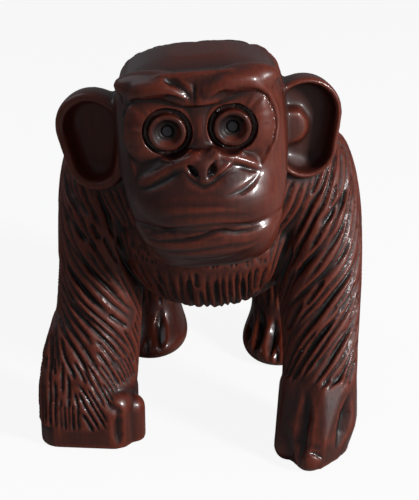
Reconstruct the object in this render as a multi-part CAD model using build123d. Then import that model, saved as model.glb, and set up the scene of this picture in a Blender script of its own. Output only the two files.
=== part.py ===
"""An ape walking on its knuckles and feet, carved from one block of hardwood.

The block holds every carved form: trunk, shoulders, arms, hands, legs, feet,
head, face and cupped ears. Two dark pegs are let into the carved eyes as pupils.
The ape faces -Y, +Z is up, and it stands on z = 0. Left and right are the
ape's own, so its left hand is on the +X side. Sizes are in millimetres.
"""

import math
import os

from build123d import *

LEFT = 1
RIGHT = -1

# One overrun serves every cut that has to pass a surface
overrun = 4.0

# Trunk: oval sections along Y, from the chest to the dropped rump
chest_y = -52.0
trunk_length = 114.0
trunk_height = 80.0
trunk_half_width = 40.0
trunk_half_height = 38.0
rump_drop = 15.0
trunk_along_shares = (0.0, 0.02, 0.08, 0.22, 0.46, 0.72, 0.9, 0.98, 1.0)
trunk_width_shares = (0.18, 0.42, 0.7, 0.93, 1.0, 0.97, 0.76, 0.45, 0.2)
trunk_height_shares = (0.14, 0.32, 0.6, 0.93, 0.94, 0.82, 0.62, 0.36, 0.16)
trunk_drop_shares = (0.4, 0.35, 0.2, 0.0, 0.0, 0.35, 0.75, 0.95, 1.0)

# Yoke: the mass across the shoulders, which fills in between neck and arms
yoke_y = -23.0
yoke_height = 95.0
yoke_half_length = 51.0
yoke_radius = 27.5

# Arms: oval sections from the top of the shoulder down into the hand
arm_height = 113.0
arm_spread = 36.5
shoulder_y = -16.0
arm_half_depth = 24.0
right_arm_half_width = 16.8
left_arm_half_width = 16.2
right_arm_flare = 6.0
left_arm_flare = 7.5
arm_level_shares = (1.0, 0.95, 0.82, 0.55, 0.29, 0.11, 0.04)
right_arm_width_shares = (0.4, 0.74, 0.94, 0.96, 1.0, 1.0, 0.88)
left_arm_width_shares = (0.4, 0.74, 0.96, 1.0, 0.86, 0.84, 0.74)
arm_depth_shares = (0.4, 0.78, 1.0, 0.8, 0.67, 0.64, 0.54)
arm_lean_shares = (0.0, 0.0, 0.07, 0.41, 0.76, 0.97, 1.0)
right_arm_flare_shares = (0.0, 0.25, 0.4, 0.4, 0.7, 1.0, 1.0)
left_arm_flare_shares = (0.0, 0.3, 0.5, 0.75, 0.95, 0.85, 0.75)

# Right hand: a fist, with two knuckle joints in front and a thumb inside
fist_y = -45.0
fist_half_width = 17.6
fist_half_depth = 15.0
fist_height = 22.0
fist_corner = 8.0
fist_edge = 7.0
thumb_radius = 5.0
thumb_reach = 16.5
thumb_lead = 4.5
thumb_height = 13.0

# Left hand: three finger lobes that reach forward and down from the wrist
palm_y = -49.0
palm_inset = 2.5
wrist_lift = 24.0
knuckle_radius = 8.5
finger_tip_radius = 5.5
finger_tip_height = 4.5
finger_spreads = (-8.5, -1.0, 8.0)
finger_reaches = (10.0, 17.0, 7.0)
finger_root_share = 0.5

# Legs: oval sections from the sole up through shin and haunch into the trunk
leg_height = 86.0
leg_spread = 27.0
haunch_y = 38.0
leg_half_width = 17.5
leg_half_depth = 26.0
foot_lead = 8.0
left_foot_lead = 10.5
leg_level_shares = (0.0, 0.08, 0.21, 0.38, 0.6, 0.82, 0.95, 1.0)
leg_width_shares = (0.78, 0.84, 0.66, 0.8, 1.0, 0.9, 0.6, 0.3)
leg_depth_shares = (0.72, 0.77, 0.54, 0.64, 0.96, 0.9, 0.55, 0.25)
leg_lead_shares = (1.0, 1.0, 0.4, 0.5, 0.5, 0.25, 0.0, 0.0)
leg_spread_shares = (1.0, 1.0, 1.0, 1.0, 1.0, 0.9, 0.75, 0.7)

# Toes: V cuts down the front of the instep
toe_cuts = 3
toe_pitch = 6.4
toe_cut_width = 3.2
toe_cut_depth = 3.4
toe_cut_length = 30.0
toe_cut_height = 9.0
toe_slope_angle = 62.0
toe_fan_angle = 8.0

# Head: its own upright frame sits at its middle, between the ears
head_x = 0.3
head_y = -38.0
head_height = 116.0
head_roll_angle = 4.6
head_turn_angle = 4.0

# Face and crown: level sections from the chin up, rounded at their corners
chin_drop = 37.5
face_height = 72.2
face_half_width = 28.8
face_front = 40.0
face_back = 26.0
face_level_shares = (0.0, 0.03, 0.1, 0.25, 0.49, 0.68, 0.82, 0.91, 0.97, 1.0)
face_width_shares = (0.4, 0.6, 0.77, 0.88, 0.98, 1.0, 0.97, 0.85, 0.6, 0.32)
face_front_shares = (0.66, 0.78, 0.9, 0.97, 0.92, 0.88, 0.86, 0.8, 0.65, 0.46)
face_back_shares = (0.05, 0.15, 0.32, 0.54, 0.77, 0.92, 0.85, 0.6, 0.24, -0.08)
face_corner_share = 0.58

# Brow ridges, one over each eye, parted by a notch above the nose
brow_spread = 12.5
brow_y = -30.0
brow_height = 28.0
brow_half_length = 15.0
brow_radius = 5.8
brow_slope_angle = -4.0
brow_sweep_angle = 14.0
notch_width = 3.6
notch_depth = 3.0
notch_length = 9.0

# Sockets and eyes: a ball-shaped scoop, and in it a stud with a raised ring
socket_spread = 13.0
socket_lift = 1.0
socket_radius = 13.0
socket_depth = 6.0
eye_spread = 10.6
eye_height = 14.0
eye_front = 33.5
eye_radius = 8.4
eye_stand = 3.2
groove_radius = 7.2
groove_width = 2.2
groove_depth = 1.3
ring_radius = 5.3
ring_section = 1.3
iris_radius = 4.0
iris_depth = 1.3

# Pupils: pegs in blind holes
pupil_radius = 2.0
pupil_length = 3.0
pupil_proud = 0.4
glue_gap = 0.05

# Cheek ridges, running out and down from the bridge of the nose
cheek_spread = 12.0
cheek_y = -34.5
cheek_height = 3.4
cheek_half_length = 12.5
cheek_radius = 2.9
cheek_slope_angle = 23.0
cheek_sweep_angle = 20.0

# Nose: a low boss with two drilled nostrils
nose_y = -37.5
nose_height = 2.5
nose_half_width = 8.2
nose_radius = 5.2
nostril_spread = 3.8
nostril_radius = 3.0

# Muzzle, lower lip and the cut between the lips
muzzle_y = -27.5
muzzle_height = -10.0
muzzle_half_width = 25.0
muzzle_radius = 17.0
lip_y = -31.5
lip_height = -22.5
lip_half_width = 22.5
lip_radius = 9.5
mouth_height = -18.0
mouth_y = -12.0
mouth_radius = 31.5
mouth_cut_depth = 3.5
mouth_cut_width = 2.6

# Ears: dishes drawn from two circles, hollowed from the front
right_ear_spread = 37.2
right_ear_height = 3.8
left_ear_spread = 34.5
left_ear_height = 2.9
ear_y = -4.0
ear_top_radius = 13.2
ear_foot_radius = 10.6
ear_half_height = 18.2
ear_depth = 11.0
right_ear_rim = 3.8
left_ear_rim = 2.2
ear_wall = 3.0
ear_rim_edge = 0.8
ear_scoop_edge = 4.0
ear_back_bevel = 2.4
ear_turn_angle = 12.0

# The main cuts of the hair: long V cuts that run out at both ends
lock_width = 3.4
lock_depth = 1.8
lock_pitch = 10.0
lock_stand = 0.3

arm_lock_count = 7
arm_lock_top = 100.0
arm_lock_fall = 26.0
arm_lock_turn_angles = (60.0, 8.0, -48.0)
arm_lock_fall_shares = (0.0, 0.45, 1.0)
flank_lock_turn_angles = (88.0, 118.0, 150.0)
flank_lock_level_shares = (0.78, 0.52, 0.24)

chest_lock_count = 4
chest_lock_level_shares = (0.86, 0.76, 0.64)
chest_lock_back_share = 0.16

back_lock_count = 7
back_lock_turn_angle = 24.0
back_lock_along_shares = ((0.5, 0.63, 0.76), (0.72, 0.85, 0.95))
back_lock_stagger_share = 0.05

haunch_lock_turn_angles = (62.0, 90.0, 118.0)
haunch_lock_level_shares = (0.82, 0.6, 0.36)

crown_lock_count = 5
crown_lock_lift = 8.0
crown_lock_front = 8.0
crown_lock_pitch_share = 0.9
crown_lock_tilt_angles = (-12.0, 38.0, 84.0)

def column(levels, xs, ys, half_widths, half_depths):
    """A loft through level oval sections."""
    places = zip(xs, ys, levels, half_widths, half_depths)
    return loft([Pos(x, y, z) * Ellipse(w, d) for x, y, z, w, d in places])


def spindle(half_length, radius):
    """A long round body that tapers to both ends, lying along X."""
    half = Ellipse(half_length, radius) & Pos(0, radius / 2) * Rectangle(2 * half_length, radius)
    return revolve(half, Axis.X)


def valley(width, depth, length):
    """A wedge lying along Y with its edge down, for a V cut into a face on z = 0."""
    mouth = width * (depth + overrun) / depth
    outline = Polyline((-mouth / 2, overrun), (mouth / 2, overrun), (0, -depth), close=True)
    return extrude(Plane.XZ * make_face(outline), length / 2, both=True)


def rod(start, end, start_radius, end_radius):
    """A round rod from one point to another, with ball ends that it tapers between."""
    line = Vector(*end) - Vector(*start)
    balls = Circle(start_radius).edges() + (Pos(line.length, 0) * Circle(end_radius)).edges()
    reach = line.length + start_radius + end_radius
    half = make_hull(balls) & Pos(0, reach) * Rectangle(2 * reach, 2 * reach)
    return Plane(origin=start, x_dir=line, z_dir=line.cross(Vector(0, 1, 0))) * revolve(half, Axis.X)


def between(levels, values, level):
    """The value at a level, read from a table in even steps between its rows."""
    rows = sorted(zip(levels, values))
    for (low, first), (high, second) in zip(rows, rows[1:]):
        if level <= high:
            return first + (second - first) * (level - low) / (high - low)
    return rows[-1][1]


def skin(body, inside, heading):
    """Where a line from inside a body first comes out through its skin."""
    hits = body.find_intersection_points(Axis(inside, heading))
    ahead = [(point - inside).dot(heading) for point, _ in hits]
    return inside + heading * min(reach for reach in ahead if reach > 0)


def gouge(body, sights):
    """A V cut along an arc from skin to skin, deepest at the second of its three sights."""
    depths = (-lock_stand, lock_depth, -lock_stand)
    start, middle, end = (
        skin(body, inside, heading) - heading * depth
        for (inside, heading), depth in zip(sights, depths)
    )
    arc = ThreePointArc(start, middle, end)
    halfway = arc.length / 2
    tangent = arc.tangent_at(halfway, position_mode=PositionMode.LENGTH)
    origin = arc.position_at(halfway, position_mode=PositionMode.LENGTH)
    top = lock_depth + overrun
    mouth = lock_width * top / lock_depth
    outline = Polyline((0, 0), (top, mouth / 2), (top, -mouth / 2), close=True)
    section = Plane(origin=origin, x_dir=sights[1][1], z_dir=tangent) * make_face(outline)
    hinge = Axis(arc.arc_center, (origin - arc.arc_center).cross(tangent))
    turn = math.degrees(arc.length / arc.radius)
    return revolve(section, hinge, turn).rotate(hinge, -turn / 2)


def trunk():
    """The body of the ape as one loft, fullest behind the shoulders."""
    sections = []
    shares = zip(trunk_along_shares, trunk_width_shares, trunk_height_shares, trunk_drop_shares)
    for along, width, height, drop in shares:
        place = Pos(0, chest_y + along * trunk_length, trunk_height - drop * rump_drop) * Rot(X=90)
        sections.append(place * Ellipse(width * trunk_half_width, height * trunk_half_height))
    return loft(sections)


def arm(side, hand_y, half_width, width_shares, flare, flare_shares):
    """One arm, leaning forward and out from the shoulder to the hand."""
    return column(
        [share * arm_height for share in arm_level_shares],
        [side * (arm_spread + share * flare) for share in flare_shares],
        [shoulder_y + share * (hand_y - shoulder_y) for share in arm_lean_shares],
        [share * half_width for share in width_shares],
        [share * arm_half_depth for share in arm_depth_shares],
    )


def fist():
    """The right hand: a rounded block with the thumb laid against its inner end."""
    x = RIGHT * (arm_spread + right_arm_flare)
    outline = RectangleRounded(2 * fist_half_width, 2 * fist_half_depth, fist_corner)
    block = extrude(outline, fist_height)
    block = fillet(block.faces().sort_by(Axis.Z)[-1].edges(), fist_edge)
    knuckle = (thumb_reach, -thumb_lead, thumb_height)
    thumb = rod((thumb_reach, -thumb_lead, 0), knuckle, thumb_radius, thumb_radius)
    return Pos(x, fist_y, 0) * (block + thumb)


def fingers():
    """The three lobes of the left hand."""
    x = LEFT * (arm_spread + left_arm_flare - palm_inset)
    lobes = []
    for spread, reach in zip(finger_spreads, finger_reaches):
        root = (x + finger_root_share * spread, palm_y, wrist_lift)
        tip = (x + spread, palm_y - reach, finger_tip_height)
        lobes.append(rod(root, tip, knuckle_radius, finger_tip_radius))
    return lobes


def arm_sight(side, hand_y, flare, flare_shares, height, turn_angle):
    """A line of sight from the middle of an arm, turned outward from straight ahead."""
    level = height / arm_height
    x = side * (arm_spread + flare * between(arm_level_shares, flare_shares, level))
    y = shoulder_y + between(arm_level_shares, arm_lean_shares, level) * (hand_y - shoulder_y)
    turn = math.radians(turn_angle)
    return Vector(x, y, height), Vector(side * math.sin(turn), -math.cos(turn), 0)


def arm_locks(body, side, hand_y, flare, flare_shares):
    """The cuts that wind round one arm to its inner side, and those down its flank."""
    place = (side, hand_y, flare, flare_shares)
    cuts = []
    for n in range(arm_lock_count):
        top = arm_lock_top - n * lock_pitch
        falls = [share * arm_lock_fall for share in arm_lock_fall_shares]
        turns = zip(falls, arm_lock_turn_angles)
        cuts.append(gouge(body, [arm_sight(*place, top - fall, turn) for fall, turn in turns]))
    for turn in flank_lock_turn_angles:
        heights = [share * arm_height for share in flank_lock_level_shares]
        cuts.append(gouge(body, [arm_sight(*place, height, turn) for height in heights]))
    return cuts


def chest_locks(body):
    """The cuts that run down the chest between the arms."""
    cuts = []
    for n in range(chest_lock_count):
        x = (n - (chest_lock_count - 1) / 2) * lock_pitch
        heights = [share * trunk_height for share in chest_lock_level_shares]
        y = chest_y + chest_lock_back_share * trunk_length
        cuts.append(gouge(body, [(Vector(x, y, height), Vector(0, -1, 0)) for height in heights]))
    return cuts


def back_locks(body):
    """The cuts that run along the back, in rows that part toward the flanks."""
    cuts = []
    for row in range(back_lock_count):
        place = row - (back_lock_count - 1) / 2
        turn = math.radians(place * back_lock_turn_angle)
        heading = Vector(math.sin(turn), 0, math.cos(turn))
        for along_shares in back_lock_along_shares:
            sights = []
            for share in along_shares:
                share -= row % 2 * back_lock_stagger_share
                drop = between(trunk_along_shares, trunk_drop_shares, share) * rump_drop
                inside = Vector(0, chest_y + share * trunk_length, trunk_height - drop)
                sights.append((inside, heading))
            cuts.append(gouge(body, sights))
    return cuts


def haunch_locks(body, side, lead):
    """The cuts that run down the outer side of one hind leg."""
    cuts = []
    for turn_angle in haunch_lock_turn_angles:
        turn = math.radians(turn_angle)
        heading = Vector(side * math.sin(turn), -math.cos(turn), 0)
        sights = []
        for share in haunch_lock_level_shares:
            y = haunch_y - between(leg_level_shares, leg_lead_shares, share) * lead
            x = side * leg_spread * between(leg_level_shares, leg_spread_shares, share)
            sights.append((Vector(x, y, share * leg_height), heading))
        cuts.append(gouge(body, sights))
    return cuts


def leg(side, lead):
    """One hind leg, from the sole to the haunch."""
    return column(
        [share * leg_height for share in leg_level_shares],
        [side * share * leg_spread for share in leg_spread_shares],
        [haunch_y - share * lead for share in leg_lead_shares],
        [share * leg_half_width for share in leg_width_shares],
        [share * leg_half_depth for share in leg_depth_shares],
    )


def toes(side, lead):
    """The V cuts that part the toes, fanned about the middle of the foot."""
    front = haunch_y - lead - max(leg_depth_shares[:2]) * leg_half_depth
    cuts = []
    for n in range(toe_cuts):
        place = n - (toe_cuts - 1) / 2
        cut = Rot(X=toe_slope_angle) * valley(toe_cut_width, toe_cut_depth, toe_cut_length)
        cut = Rot(Z=place * toe_fan_angle) * cut
        cuts.append(Pos(side * leg_spread + place * toe_pitch, front, toe_cut_height) * cut)
    return cuts


def face_block():
    """The head without its features, from the chin to the crown."""
    sections = []
    shares = zip(face_level_shares, face_width_shares, face_front_shares, face_back_shares)
    for level, width, front, back in shares:
        half_width = width * face_half_width
        front_y = -front * face_front
        back_y = back * face_back
        outline = RectangleRounded(2 * half_width, back_y - front_y, face_corner_share * half_width)
        place = Pos(0, (front_y + back_y) / 2, level * face_height - chin_drop)
        sections.append(place * outline)
    return loft(sections)


def ridge(side, place, half_length, radius, slope_angle, sweep_angle):
    """A round ridge that runs out, down and back from the middle of the face."""
    spread, y, height = place
    turned = Rot(Z=side * sweep_angle) * Rot(Y=side * slope_angle) * spindle(half_length, radius)
    return Pos(side * spread, y, height) * turned


def eye_place(side):
    """Where an eye looks out: its +Z points out of the face."""
    return Pos(side * eye_spread, -eye_front, eye_height) * Rot(X=90)


def eye_stud(side):
    """The round stud that an eye is cut from."""
    return eye_place(side) * Pos(0, 0, -eye_stand) * Cylinder(eye_radius, 2 * eye_stand)


def eye_groove(side):
    """What is cut away before the stud's face, with a V groove round its rim."""
    inner = groove_radius - groove_width / 2
    outer = groove_radius + groove_width / 2
    top = 2 * overrun
    outline = Polyline(
        (0, 0), (inner, 0), (groove_radius, -groove_depth), (outer, 0), (outer, top), (0, top), close=True
    )
    return eye_place(side) * revolve(Plane.XZ * make_face(outline), Axis.Z)


def eye_ring(side):
    """The ring that stands round the iris, with both its edges bevelled."""
    inner = ring_radius - ring_section
    outer = ring_radius + ring_section
    top = ring_section
    outline = Polyline(
        (inner, -top), (inner, 0), (ring_radius - top / 2, top), (ring_radius + top / 2, top),
        (outer, 0), (outer, -top), close=True
    )
    return eye_place(side) * revolve(Plane.XZ * make_face(outline), Axis.Z)


def iris(side):
    """The ball that dishes the iris within the ring."""
    ball = (iris_radius**2 + iris_depth**2) / (2 * iris_depth)
    return eye_place(side) * Pos(0, 0, ball - iris_depth) * Sphere(ball)


def pupil_seat():
    """Where the floor of the pupil's hole lies, below the front of the stud."""
    return pupil_proud - iris_depth - pupil_length


def pupil(side):
    """The dark peg, on the floor of its hole with a glue gap round it."""
    peg = Cylinder(pupil_radius - glue_gap, pupil_length, align=(Align.CENTER, Align.CENTER, Align.MIN))
    peg = chamfer(peg.faces().sort_by(Axis.Z)[-1].edges(), pupil_proud)
    return eye_place(side) * Pos(0, 0, pupil_seat()) * peg


def pupil_hole(side):
    """The blind hole that the peg stands in."""
    depth = pupil_length + overrun
    hole = Cylinder(pupil_radius, depth, align=(Align.CENTER, Align.CENTER, Align.MIN))
    return eye_place(side) * Pos(0, 0, pupil_seat()) * hole


def socket(side):
    """The ball that scoops out an eye socket."""
    ball = (socket_radius**2 + socket_depth**2) / (2 * socket_depth)
    front = -eye_front + eye_stand - ball
    return Pos(side * socket_spread, front, eye_height + socket_lift) * Sphere(ball)


def mouth_cut():
    """A V groove that runs round the muzzle between the lips."""
    mouth = mouth_cut_width * (mouth_cut_depth + overrun) / mouth_cut_depth
    inner = mouth_radius - mouth_cut_depth
    outline = Polyline(
        (inner, 0), (mouth_radius + overrun, mouth / 2), (mouth_radius + overrun, -mouth / 2), close=True
    )
    return Pos(0, mouth_y, mouth_height) * revolve(Plane.XZ * make_face(outline), Axis.Z)


def ear_outline(trim):
    """The ear seen from the front: a large circle above a small one, drawn round."""
    top = Pos(0, ear_half_height - ear_top_radius) * Circle(ear_top_radius - trim)
    foot = Pos(0, ear_foot_radius - ear_half_height) * Circle(ear_foot_radius - trim)
    return make_hull(top.edges() + foot.edges())


def ear(side, spread, height, rim):
    """A dished ear with a standing rim, open to the front."""
    shell = extrude(ear_outline(0), ear_depth)
    shell = chamfer(shell.faces().sort_by(Axis.Z)[0].edges(), ear_back_bevel)
    scoop = extrude(Pos(0, 0, ear_wall) * ear_outline(rim), ear_depth)
    scoop = fillet(scoop.faces().sort_by(Axis.Z)[0].edges(), ear_scoop_edge)
    dish = shell - scoop
    dish = chamfer(dish.faces().sort_by(Axis.Z)[-1].edges(), ear_rim_edge)
    place = Pos(side * spread, ear_y, height) * Rot(Z=side * ear_turn_angle) * Rot(X=90)
    return place * Pos(0, 0, -ear_depth / 2) * dish


def head():
    """The whole head in its own upright frame, without the pupils."""
    sides = (LEFT, RIGHT)
    brow_place = (brow_spread, brow_y, brow_height)
    brows = [
        ridge(s, brow_place, brow_half_length, brow_radius, brow_slope_angle, brow_sweep_angle)
        for s in sides
    ]
    cheek_place = (cheek_spread, cheek_y, cheek_height)
    cheeks = [
        ridge(s, cheek_place, cheek_half_length, cheek_radius, cheek_slope_angle, cheek_sweep_angle)
        for s in sides
    ]
    notch = Pos(0, brow_y - brow_radius, brow_height) * Rot(X=90)
    notch *= valley(notch_width, notch_depth, notch_length)
    muzzle = Pos(0, muzzle_y, muzzle_height) * spindle(muzzle_half_width, muzzle_radius)
    lower_lip = Pos(0, lip_y, lip_height) * spindle(lip_half_width, lip_radius)
    nose = Pos(0, nose_y, nose_height) * spindle(nose_half_width, nose_radius)
    nostrils = [
        Pos(s * nostril_spread, nose_y - nose_radius, nose_height) * Sphere(nostril_radius)
        for s in sides
    ]
    skull = face_block()
    block = skull + brows
    block -= [*(socket(s) for s in sides), notch, *crown_locks(skull)]
    block += [*(eye_stud(s) for s in sides), muzzle, lower_lip, nose, *cheeks]
    block -= [mouth_cut(), *nostrils, *(eye_groove(s) for s in sides)]
    block += [*(eye_ring(s) for s in sides)]
    for side in sides:
        block -= [iris(side), pupil_hole(side)]
    left_ear = ear(LEFT, left_ear_spread, left_ear_height, left_ear_rim)
    right_ear = ear(RIGHT, right_ear_spread, right_ear_height, right_ear_rim)
    return block + [left_ear, right_ear]


def crown_locks(block):
    """The cuts that run back over the crown and down the nape."""
    cuts = []
    for n in range(crown_lock_count):
        x = (n - (crown_lock_count - 1) / 2) * crown_lock_pitch_share * lock_pitch
        inside = Vector(x, -crown_lock_front, crown_lock_lift)
        tilts = [math.radians(angle) for angle in crown_lock_tilt_angles]
        cuts.append(gouge(block, [(inside, Vector(0, math.sin(tilt), math.cos(tilt))) for tilt in tilts]))
    return cuts


def place_head(shape):
    """Moves a shape from the head's own frame into the figure's."""
    return Pos(head_x, head_y, head_height) * Rot(Z=head_turn_angle) * Rot(Y=-head_roll_angle) * shape


def figure():
    """The whole carving, cut flat where it stands."""
    right_arm = arm(
        RIGHT,
        fist_y,
        right_arm_half_width,
        right_arm_width_shares,
        right_arm_flare,
        right_arm_flare_shares,
    )
    left_arm = arm(
        LEFT,
        palm_y,
        left_arm_half_width,
        left_arm_width_shares,
        left_arm_flare,
        left_arm_flare_shares,
    )
    right_leg = leg(RIGHT, foot_lead) - toes(RIGHT, foot_lead)
    left_leg = leg(LEFT, left_foot_lead) - toes(LEFT, left_foot_lead)
    yoke = Pos(0, yoke_y, yoke_height) * spindle(yoke_half_length, yoke_radius)
    body = trunk() + [right_arm, left_arm]
    body += yoke
    body += [right_leg, left_leg]
    body += [fist(), *fingers()]
    hair = arm_locks(body, RIGHT, fist_y, right_arm_flare, right_arm_flare_shares)
    hair += arm_locks(body, LEFT, palm_y, left_arm_flare, left_arm_flare_shares)
    hair += chest_locks(body) + back_locks(body)
    hair += haunch_locks(body, RIGHT, foot_lead) + haunch_locks(body, LEFT, left_foot_lead)
    carving = body - hair + place_head(head())
    reach = 2 * trunk_length
    table = Box(2 * reach, 2 * reach, reach, align=(Align.CENTER, Align.CENTER, Align.MAX))
    return carving - table


def main():
    os.makedirs("parts", exist_ok=True)
    carving = figure()
    middle = carving.bounding_box().center()
    on_origin = Pos(-middle.X, -middle.Y, 0)
    export_step(on_origin * carving, "parts/carved_figure.step")
    export_step(on_origin * place_head(pupil(LEFT)), "parts/left_pupil.step")
    export_step(on_origin * place_head(pupil(RIGHT)), "parts/right_pupil.step")
    print("frame shift", -middle.X, -middle.Y)


main()
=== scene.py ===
import itertools
import math
import random

import bpy
import numpy as np
from mathutils import Matrix, Vector, kdtree


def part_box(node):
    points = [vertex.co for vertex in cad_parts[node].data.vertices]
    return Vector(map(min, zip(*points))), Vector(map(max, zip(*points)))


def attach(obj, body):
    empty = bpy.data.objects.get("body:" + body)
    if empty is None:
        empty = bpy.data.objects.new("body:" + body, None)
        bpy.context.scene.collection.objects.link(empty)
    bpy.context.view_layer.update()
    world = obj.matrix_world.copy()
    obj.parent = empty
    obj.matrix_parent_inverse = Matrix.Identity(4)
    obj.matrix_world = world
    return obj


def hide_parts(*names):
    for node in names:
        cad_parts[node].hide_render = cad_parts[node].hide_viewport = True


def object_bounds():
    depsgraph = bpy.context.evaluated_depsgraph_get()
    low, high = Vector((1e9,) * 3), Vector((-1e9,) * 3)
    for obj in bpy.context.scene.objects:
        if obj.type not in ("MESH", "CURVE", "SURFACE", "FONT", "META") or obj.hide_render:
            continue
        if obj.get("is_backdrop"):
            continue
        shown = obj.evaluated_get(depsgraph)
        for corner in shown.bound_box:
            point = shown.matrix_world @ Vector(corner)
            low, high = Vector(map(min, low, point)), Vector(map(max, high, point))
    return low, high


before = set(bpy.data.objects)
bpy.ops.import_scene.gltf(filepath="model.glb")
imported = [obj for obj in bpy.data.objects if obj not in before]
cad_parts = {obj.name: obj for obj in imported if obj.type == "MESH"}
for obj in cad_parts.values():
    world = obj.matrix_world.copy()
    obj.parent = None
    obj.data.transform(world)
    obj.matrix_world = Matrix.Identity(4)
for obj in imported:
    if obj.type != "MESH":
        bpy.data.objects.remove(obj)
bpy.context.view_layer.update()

# The block
# The ape is cut from one block of close-grained hardwood. It starts as the
# plain form that the rasp leaves, with the joins between limbs and trunk
# rounded over, ready for the gouges.

MM = 0.001
WELD_GAP = 0.002 * MM
BLOCK_VOXEL = 0.5 * MM
ROUNDING_ROUNDS = 10
EVENING_ROUNDS = 2
EVENING_SHARE = 0.5
RUBBING_SHARE = 0.6
TIP_WIDTH = 0.35
HAIRLINE_OUT = -14.0
HAIRLINE_SOFTNESS = 6.0
CHIN_UP = -54.0
CHIN_SPAN = (CHIN_UP - 6, CHIN_UP + 3)

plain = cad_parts["carved_figure"]
bpy.ops.object.select_all(action="DESELECT")
block = bpy.data.objects.new("carved_block", plain.data.copy())
bpy.context.scene.collection.objects.link(block)
block.matrix_world = Matrix.Identity(4)
block.select_set(True)
bpy.context.view_layer.objects.active = block
bpy.ops.object.mode_set(mode="EDIT")
bpy.ops.mesh.select_all(action="SELECT")
bpy.ops.mesh.remove_doubles(threshold=WELD_GAP)
bpy.ops.object.mode_set(mode="OBJECT")

# all of the face is cut in a frame of its own, with its middle between the
# pupils: across to the ape's left, up, and out of the face
pupil_middles = {}
for side_name in ("left", "right"):
    low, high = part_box(f"{side_name}_pupil")
    pupil_middles[side_name] = (Vector(low) + Vector(high)) / (2 * MM)
eyes_middle = (pupil_middles["left"] + pupil_middles["right"]) / 2
face_across = (pupil_middles["left"] - pupil_middles["right"]).normalized()
face_up = (Vector((0, 0, 1)) - face_across * face_across.z).normalized()
face_out = face_up.cross(face_across)
if face_out.y > 0:
    face_out.negate()
face_axes = np.array([face_across, face_up, face_out])


def in_face(positions):
    """Positions seen in the face's frame, in millimetres: across, up, out."""
    return (positions - np.array(eyes_middle)) @ face_axes.T


def from_face(places):
    """Places in the face's frame, as positions of the figure."""
    return np.array(eyes_middle) + np.array(places, dtype=float) @ face_axes


def leave_wood(name, corners):
    """Leaves a rounded lump standing on the block, drawn tight round its corners."""
    mesh = bpy.data.meshes.new(name)
    corners = np.array(corners, dtype=float) * MM
    mesh.from_pydata([tuple(corner) for corner in corners], [], [])
    lump = bpy.data.objects.new(name, mesh)
    bpy.context.scene.collection.objects.link(lump)
    bpy.ops.object.select_all(action="DESELECT")
    lump.select_set(True)
    bpy.context.view_layer.objects.active = lump
    bpy.ops.object.mode_set(mode="EDIT")
    bpy.ops.mesh.select_all(action="SELECT")
    bpy.ops.mesh.convex_hull()
    bpy.ops.object.mode_set(mode="OBJECT")
    block.select_set(True)
    bpy.context.view_layer.objects.active = block
    bpy.ops.object.join()


# the forehead stands out in one ledge from the brow edge to its crest
forehead = [
    (-24, 7, -2), (-20, 11, 1.6), (-14, 13, 4.6), (-4, 9, 5.2),
    (5, 9, 5.2), (14, 13.5, 4.8), (20, 11, 1.6), (24, 6, -2),
    (-25, 15.5, -2), (-20, 18.4, 0), (-12, 19.6, 2.2), (0, 19.8, 3.4),
    (12, 19.5, 2.4), (20, 18.6, 0), (25, 16, -2),
    (-24, 8, -14), (24, 8, -14), (-20, 16, -16), (20, 16, -16),
]
leave_wood("forehead", from_face(forehead))

# the wrist of the fist runs straight from the arm to the knuckles
wrist_wood = [
    (-60, -44, 9), (-57, -49.5, 9), (-36, -49.5, 9), (-31, -46, 9), (-30, -30, 9), (-58, -30, 9),
    (-59.6, -42, 22), (-56, -47, 22), (-38, -48, 22), (-29, -43, 22), (-58.3, -38, 34), (-58.3, -24, 34),
    (-55, -28, 46), (-52, -33, 46), (-46, -38, 46), (-40, -39.5, 46),
    (-33, -38, 46), (-28, -33, 46), (-40, -14, 46),
]
leave_wood("wrist", wrist_wood)

# the left hand is one flat-sided mass, wider below than its three fingers
hand_wood = [
    (37, -46, 29), (46, -49.6, 30), (54, -45.4, 31), (58, -37, 32), (57, -28, 30), (38, -28, 28),
    (33, -51, 14), (40, -58, 13), (47, -58, 12), (58, -46, 12), (59, -38, 12), (34, -34, 12),
    (33, -52, 1), (39, -60, 1), (46, -59, 1), (52, -52, 1), (56, -42, 1), (36, -38, 1),
]
leave_wood("hand", hand_wood)

# the tragus of the left ear, a lump that stands at the inner edge of its dish
tragus = [
    (28, -5, -24), (33.6, -5.6, -25), (36, -9, -26), (36, -13, -26), (34, -15.6, -25), (28, -17, -24),
    (28, -3, -32), (34.5, -4, -32), (37.4, -9.6, -32), (36.6, -14.4, -32), (33, -18.6, -32), (28, -19, -32),
]
leave_wood("tragus", from_face(tragus))

remesh = block.modifiers.new("even_skin", "REMESH")
remesh.mode = "VOXEL"
remesh.voxel_size = BLOCK_VOXEL
bpy.ops.object.modifier_apply(modifier=remesh.name)


def read_points(piece):
    """The piece's points as rows of millimetres."""
    flat = np.empty(3 * len(piece.data.vertices))
    piece.data.vertices.foreach_get("co", flat)
    return flat.reshape(-1, 3) / MM


def write_points(piece, points):
    """Puts changed points, in millimetres, back into the piece."""
    piece.data.vertices.foreach_set("co", (points * MM).ravel())
    piece.data.update()


def read_normals(piece):
    """The piece's outward directions, point by point."""
    flat = np.empty(3 * len(piece.data.vertices))
    piece.data.vertices.foreach_get("normal", flat)
    return flat.reshape(-1, 3)


def read_edges(piece):
    """The piece's edges as pairs of point numbers."""
    flat = np.empty(2 * len(piece.data.edges), dtype=np.int64)
    piece.data.edges.foreach_get("vertices", flat)
    return flat.reshape(-1, 2)


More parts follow.
